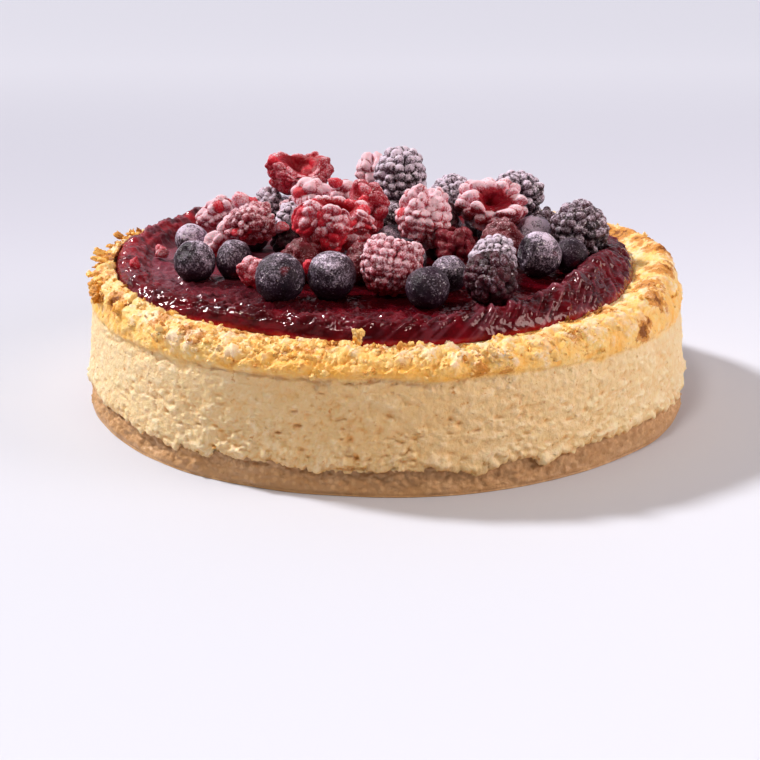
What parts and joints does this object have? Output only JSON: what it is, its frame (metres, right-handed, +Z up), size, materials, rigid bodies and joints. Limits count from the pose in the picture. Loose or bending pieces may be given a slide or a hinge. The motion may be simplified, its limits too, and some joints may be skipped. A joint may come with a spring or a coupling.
{
  "type": "baked cheesecake",
  "caption": "Whole round baked cheesecake on a biscuit base, with a raised crumbly rim, a thick berry jam top and a heap of frosted berries.",
  "frame": {"origin": "middle of the flat underside of the biscuit base", "axes": "+Z up through the cake; -Y is the front, where the rim has crumbled lowest"},
  "size_m": [0.202, 0.202, 0.0784],
  "materials": {
    "biscuit": "moist pressed biscuit crumb",
    "filling": "porous baked curd with a browned crumbly rim",
    "jam": "wet dark berry jam",
    "blueberry": "frosted blue-black skin",
    "raspberry": "frosted red drupelets",
    "bramble": "frosted black-purple drupelets"
  },
  "bodies": {
    "root": {"biscuit_base": "biscuit", "blueberry_01": "blueberry", "blueberry_02": "blueberry", "blueberry_03": "blueberry", "blueberry_04": "blueberry", "blueberry_05": "blueberry", "blueberry_06": "blueberry", "blueberry_07": "blueberry", "blueberry_08": "blueberry", "blueberry_09": "blueberry", "blueberry_10": "blueberry", "blueberry_11": "blueberry", "blueberry_12": "blueberry", "blueberry_13": "blueberry", "blueberry_14": "blueberry", "blueberry_15": "blueberry", "blueberry_16": "blueberry", "blueberry_17": "blueberry", "blueberry_18": "blueberry", "blueberry_19": "blueberry", "blueberry_20": "blueberry", "blueberry_21": "blueberry", "blueberry_22": "blueberry", "bramble_01": "bramble", "bramble_02": "bramble", "bramble_03": "bramble", "bramble_04": "bramble", "bramble_05": "bramble", "bramble_06": "bramble", "bramble_07": "bramble", "bramble_08": "bramble", "bramble_09": "bramble", "bramble_10": "bramble", "bramble_11": "bramble", "bramble_12": "bramble", "bramble_13": "bramble", "bramble_14": "bramble", "filling": "filling", "jam": "jam", "raspberry_01": "raspberry", "raspberry_02": "raspberry", "raspberry_03": "raspberry", "raspberry_04": "raspberry", "raspberry_05": "raspberry", "raspberry_06": "raspberry", "raspberry_07": "raspberry", "raspberry_08": "raspberry", "raspberry_09": "raspberry", "raspberry_10": "raspberry", "raspberry_11": "raspberry", "raspberry_12": "raspberry", "raspberry_13": "raspberry", "raspberry_14": "raspberry", "raspberry_15": "raspberry", "raspberry_16": "raspberry", "raspberry_17": "raspberry", "raspberry_18": "raspberry", "raspberry_19": "raspberry", "raspberry_20": "raspberry", "raspberry_21": "raspberry"}
  },
  "joints": []
}
